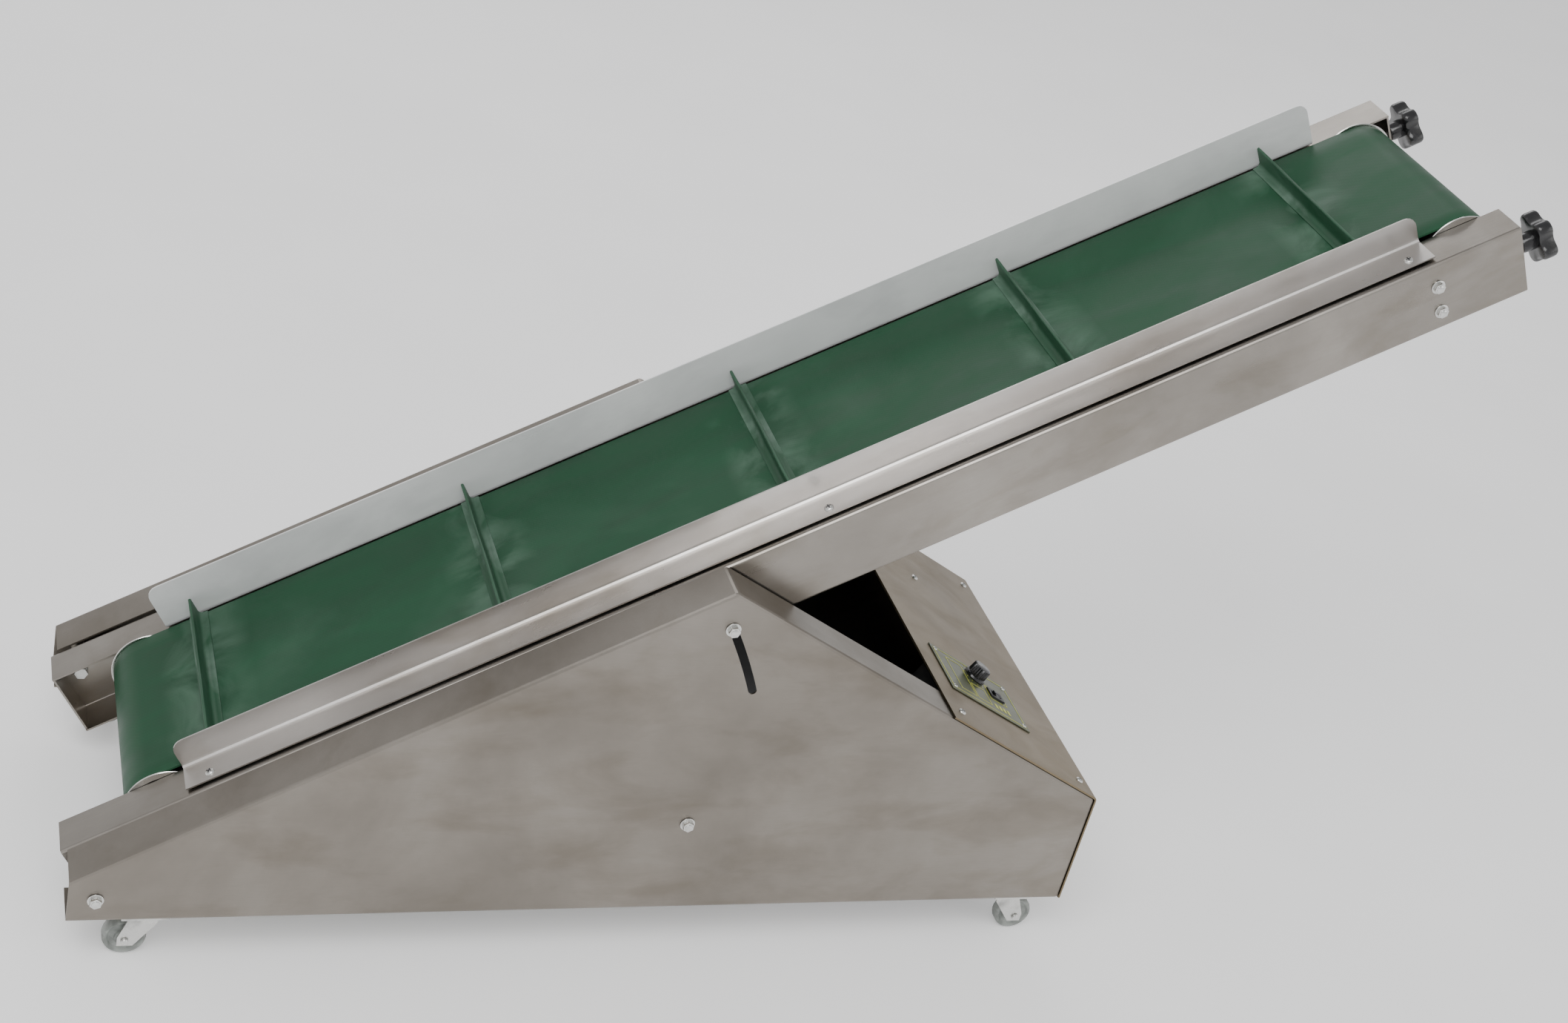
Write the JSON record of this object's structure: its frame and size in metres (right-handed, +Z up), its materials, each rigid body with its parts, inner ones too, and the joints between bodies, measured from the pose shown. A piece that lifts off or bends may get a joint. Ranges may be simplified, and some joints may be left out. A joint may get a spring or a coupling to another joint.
{
  "type": "inclined cleated belt conveyor",
  "caption": "Wheeled take-off conveyor: a tilting cleated belt with side guards on a wedge-shaped sheet-metal base with drive and controls.",
  "frame": {"origin": "centre of the footprint at floor level, under the middle of the overall box", "axes": "+X along the conveyor towards its raised discharge end, +Y across the belt to the drive side, +Z up"},
  "size_m": [1.3533, 0.4156, 0.869],
  "materials": {
    "stainless_sheet": "brushed stainless sheet, cloudy with handling marks",
    "zinc_steel": "bright zinc plate",
    "dark_steel": "dark satin",
    "green_belt": "matte belt cover, dusty",
    "black_plastic": "glossy black moulding",
    "wheel_rubber": "grey tread",
    "motor_paint": "semi-gloss paint",
    "control_decal": "printed foil",
    "roller_aluminium": "turned"
  },
  "bodies": {
    "base": {"side_panel_near": "stainless_sheet", "side_panel_far": "stainless_sheet", "rear_cover": "stainless_sheet", "control_plate": "control_decal", "speed_controller": "black_plastic", "switch_body": "black_plastic", "floor_plate": "dark_steel", "tie_rod": "zinc_steel", "pivot_bolt_near": "zinc_steel", "pivot_bolt_far": "zinc_steel", "caster_plate_front_near": "zinc_steel", "caster_plate_front_far": "zinc_steel", "caster_plate_rear_near": "zinc_steel", "caster_plate_rear_far": "zinc_steel"},
    "belt_frame": {"rail_near": "stainless_sheet", "rail_far": "stainless_sheet", "guard_near": "stainless_sheet", "guard_far": "stainless_sheet", "slider_bed": "stainless_sheet", "cross_tube_low": "zinc_steel", "cross_tube_high": "zinc_steel", "belt": "green_belt", "cleat_01": "green_belt", "cleat_02": "green_belt", "cleat_03": "green_belt", "cleat_04": "green_belt", "cleat_05": "green_belt", "cleat_06": "green_belt", "cleat_07": "green_belt", "cleat_08": "green_belt", "cleat_09": "green_belt", "cleat_10": "green_belt", "drive_bearing_near": "dark_steel", "drive_bearing_far": "dark_steel", "gearmotor": "motor_paint", "motor_bracket": "stainless_sheet", "drive_chain": "dark_steel", "slot_bolt_near": "zinc_steel", "slot_bolt_far": "zinc_steel"},
    "drive_roller": {"drive_roller": "roller_aluminium", "roller_sprocket": "dark_steel"},
    "motor_sprocket": {"motor_sprocket": "dark_steel"},
    "tensioner": {"tension_block_near": "dark_steel", "tension_block_far": "dark_steel", "idler_shaft": "zinc_steel"},
    "idler_roller": {"idler_roller": "roller_aluminium"},
    "tension_knob_near": {"tension_screw_near": "zinc_steel", "star_knob_near": "black_plastic"},
    "tension_knob_far": {"tension_screw_far": "zinc_steel", "star_knob_far": "black_plastic"},
    "speed_knob": {"speed_knob": "black_plastic"},
    "switch_rocker": {"switch_rocker": "black_plastic"},
    "caster_fork_front_near": {"caster_fork_front_near": "zinc_steel"},
    "caster_wheel_front_near": {"caster_wheel_front_near": "wheel_rubber"},
    "caster_fork_front_far": {"caster_fork_front_far": "zinc_steel"},
    "caster_wheel_front_far": {"caster_wheel_front_far": "wheel_rubber"},
    "caster_fork_rear_near": {"caster_fork_rear_near": "zinc_steel"},
    "caster_wheel_rear_near": {"caster_wheel_rear_near": "wheel_rubber"},
    "caster_fork_rear_far": {"caster_fork_rear_far": "zinc_steel"},
    "caster_wheel_rear_far": {"caster_wheel_rear_far": "wheel_rubber"}
  },
  "joints": [
    {"name": "frame_tilt", "type": "hinge", "parent": "base", "child": "belt_frame", "pos_m": [-0.64587, 0, 0.08429], "axis": [0, -1, 0], "range_deg": [-6.8, 0]},
    {"name": "drive_roller_spin", "type": "hinge", "parent": "belt_frame", "child": "drive_roller", "pos_m": [-0.57741, 0, 0.1188], "axis": [0, 1, 0], "continuous": true},
    {"name": "motor_sprocket_spin", "type": "hinge", "parent": "belt_frame", "child": "motor_sprocket", "pos_m": [-0.29028, 0, 0.15447], "axis": [0, 1, 0], "continuous": true},
    {"name": "tension_slide", "type": "slide", "parent": "belt_frame", "child": "tensioner", "axis": [0.8616, 0, 0.5075], "range_m": [-0.008, 0]},
    {"name": "idler_spin", "type": "hinge", "parent": "tensioner", "child": "idler_roller", "pos_m": [0.5944, 0, 0.80906], "axis": [0, 1, 0], "continuous": true},
    {"name": "speed_knob_turn", "type": "hinge", "parent": "base", "child": "speed_knob", "pos_m": [0.24098, -0.076, 0.26044], "axis": [0.4825, 0, 0.8759], "range_deg": [0, 270]},
    {"name": "switch_rock", "type": "hinge", "parent": "base", "child": "switch_rocker", "pos_m": [0.25978, -0.094, 0.24483], "axis": [0, 1, 0], "range_deg": [-14, 0]},
    {"name": "tension_screw_near_turn", "type": "hinge", "parent": "belt_frame", "child": "tension_knob_near", "pos_m": [0.63361, -0.131, 0.83215], "axis": [0.8616, 0, 0.5075], "range_deg": [-2304.5, 0]},
    {"name": "tension_screw_far_turn", "type": "hinge", "parent": "belt_frame", "child": "tension_knob_far", "pos_m": [0.63361, 0.131, 0.83215], "axis": [0.8616, 0, 0.5075], "range_deg": [-2304.5, 0]},
    {"name": "caster_swivel_front_near", "type": "hinge", "parent": "base", "child": "caster_fork_front_near", "pos_m": [-0.5986, -0.1755, 0.0495], "axis": [0, 0, 1], "continuous": true},
    {"name": "caster_spin_front_near", "type": "hinge", "parent": "caster_fork_front_near", "child": "caster_wheel_front_near", "pos_m": [-0.6146, -0.1755, 0.0205], "axis": [0, -1, 0], "continuous": true},
    {"name": "caster_swivel_front_far", "type": "hinge", "parent": "base", "child": "caster_fork_front_far", "pos_m": [-0.5986, 0.1755, 0.0495], "axis": [0, 0, 1], "continuous": true},
    {"name": "caster_spin_front_far", "type": "hinge", "parent": "caster_fork_front_far", "child": "caster_wheel_front_far", "pos_m": [-0.6146, 0.1755, 0.0205], "axis": [0, -1, 0], "continuous": true},
    {"name": "caster_swivel_rear_near", "type": "hinge", "parent": "base", "child": "caster_fork_rear_near", "pos_m": [0.3024, -0.1755, 0.0495], "axis": [0, 0, 1], "continuous": true},
    {"name": "caster_spin_rear_near", "type": "hinge", "parent": "caster_fork_rear_near", "child": "caster_wheel_rear_near", "pos_m": [0.3184, -0.1755, 0.0205], "axis": [0, 1, 0], "continuous": true},
    {"name": "caster_swivel_rear_far", "type": "hinge", "parent": "base", "child": "caster_fork_rear_far", "pos_m": [0.3024, 0.1755, 0.0495], "axis": [0, 0, 1], "continuous": true},
    {"name": "caster_spin_rear_far", "type": "hinge", "parent": "caster_fork_rear_far", "child": "caster_wheel_rear_far", "pos_m": [0.3184, 0.1755, 0.0205], "axis": [0, 1, 0], "continuous": true}
  ],
  "couplings": [
    {"joint": "motor_sprocket_spin", "follows": "drive_roller_spin", "ratio": 1.5},
    {"joint": "idler_spin", "follows": "drive_roller_spin", "ratio": 1},
    {"joint": "tension_screw_near_turn", "follows": "tension_slide", "rad_per_m": 5026.5},
    {"joint": "tension_screw_far_turn", "follows": "tension_slide", "rad_per_m": 5026.5}
  ]
}
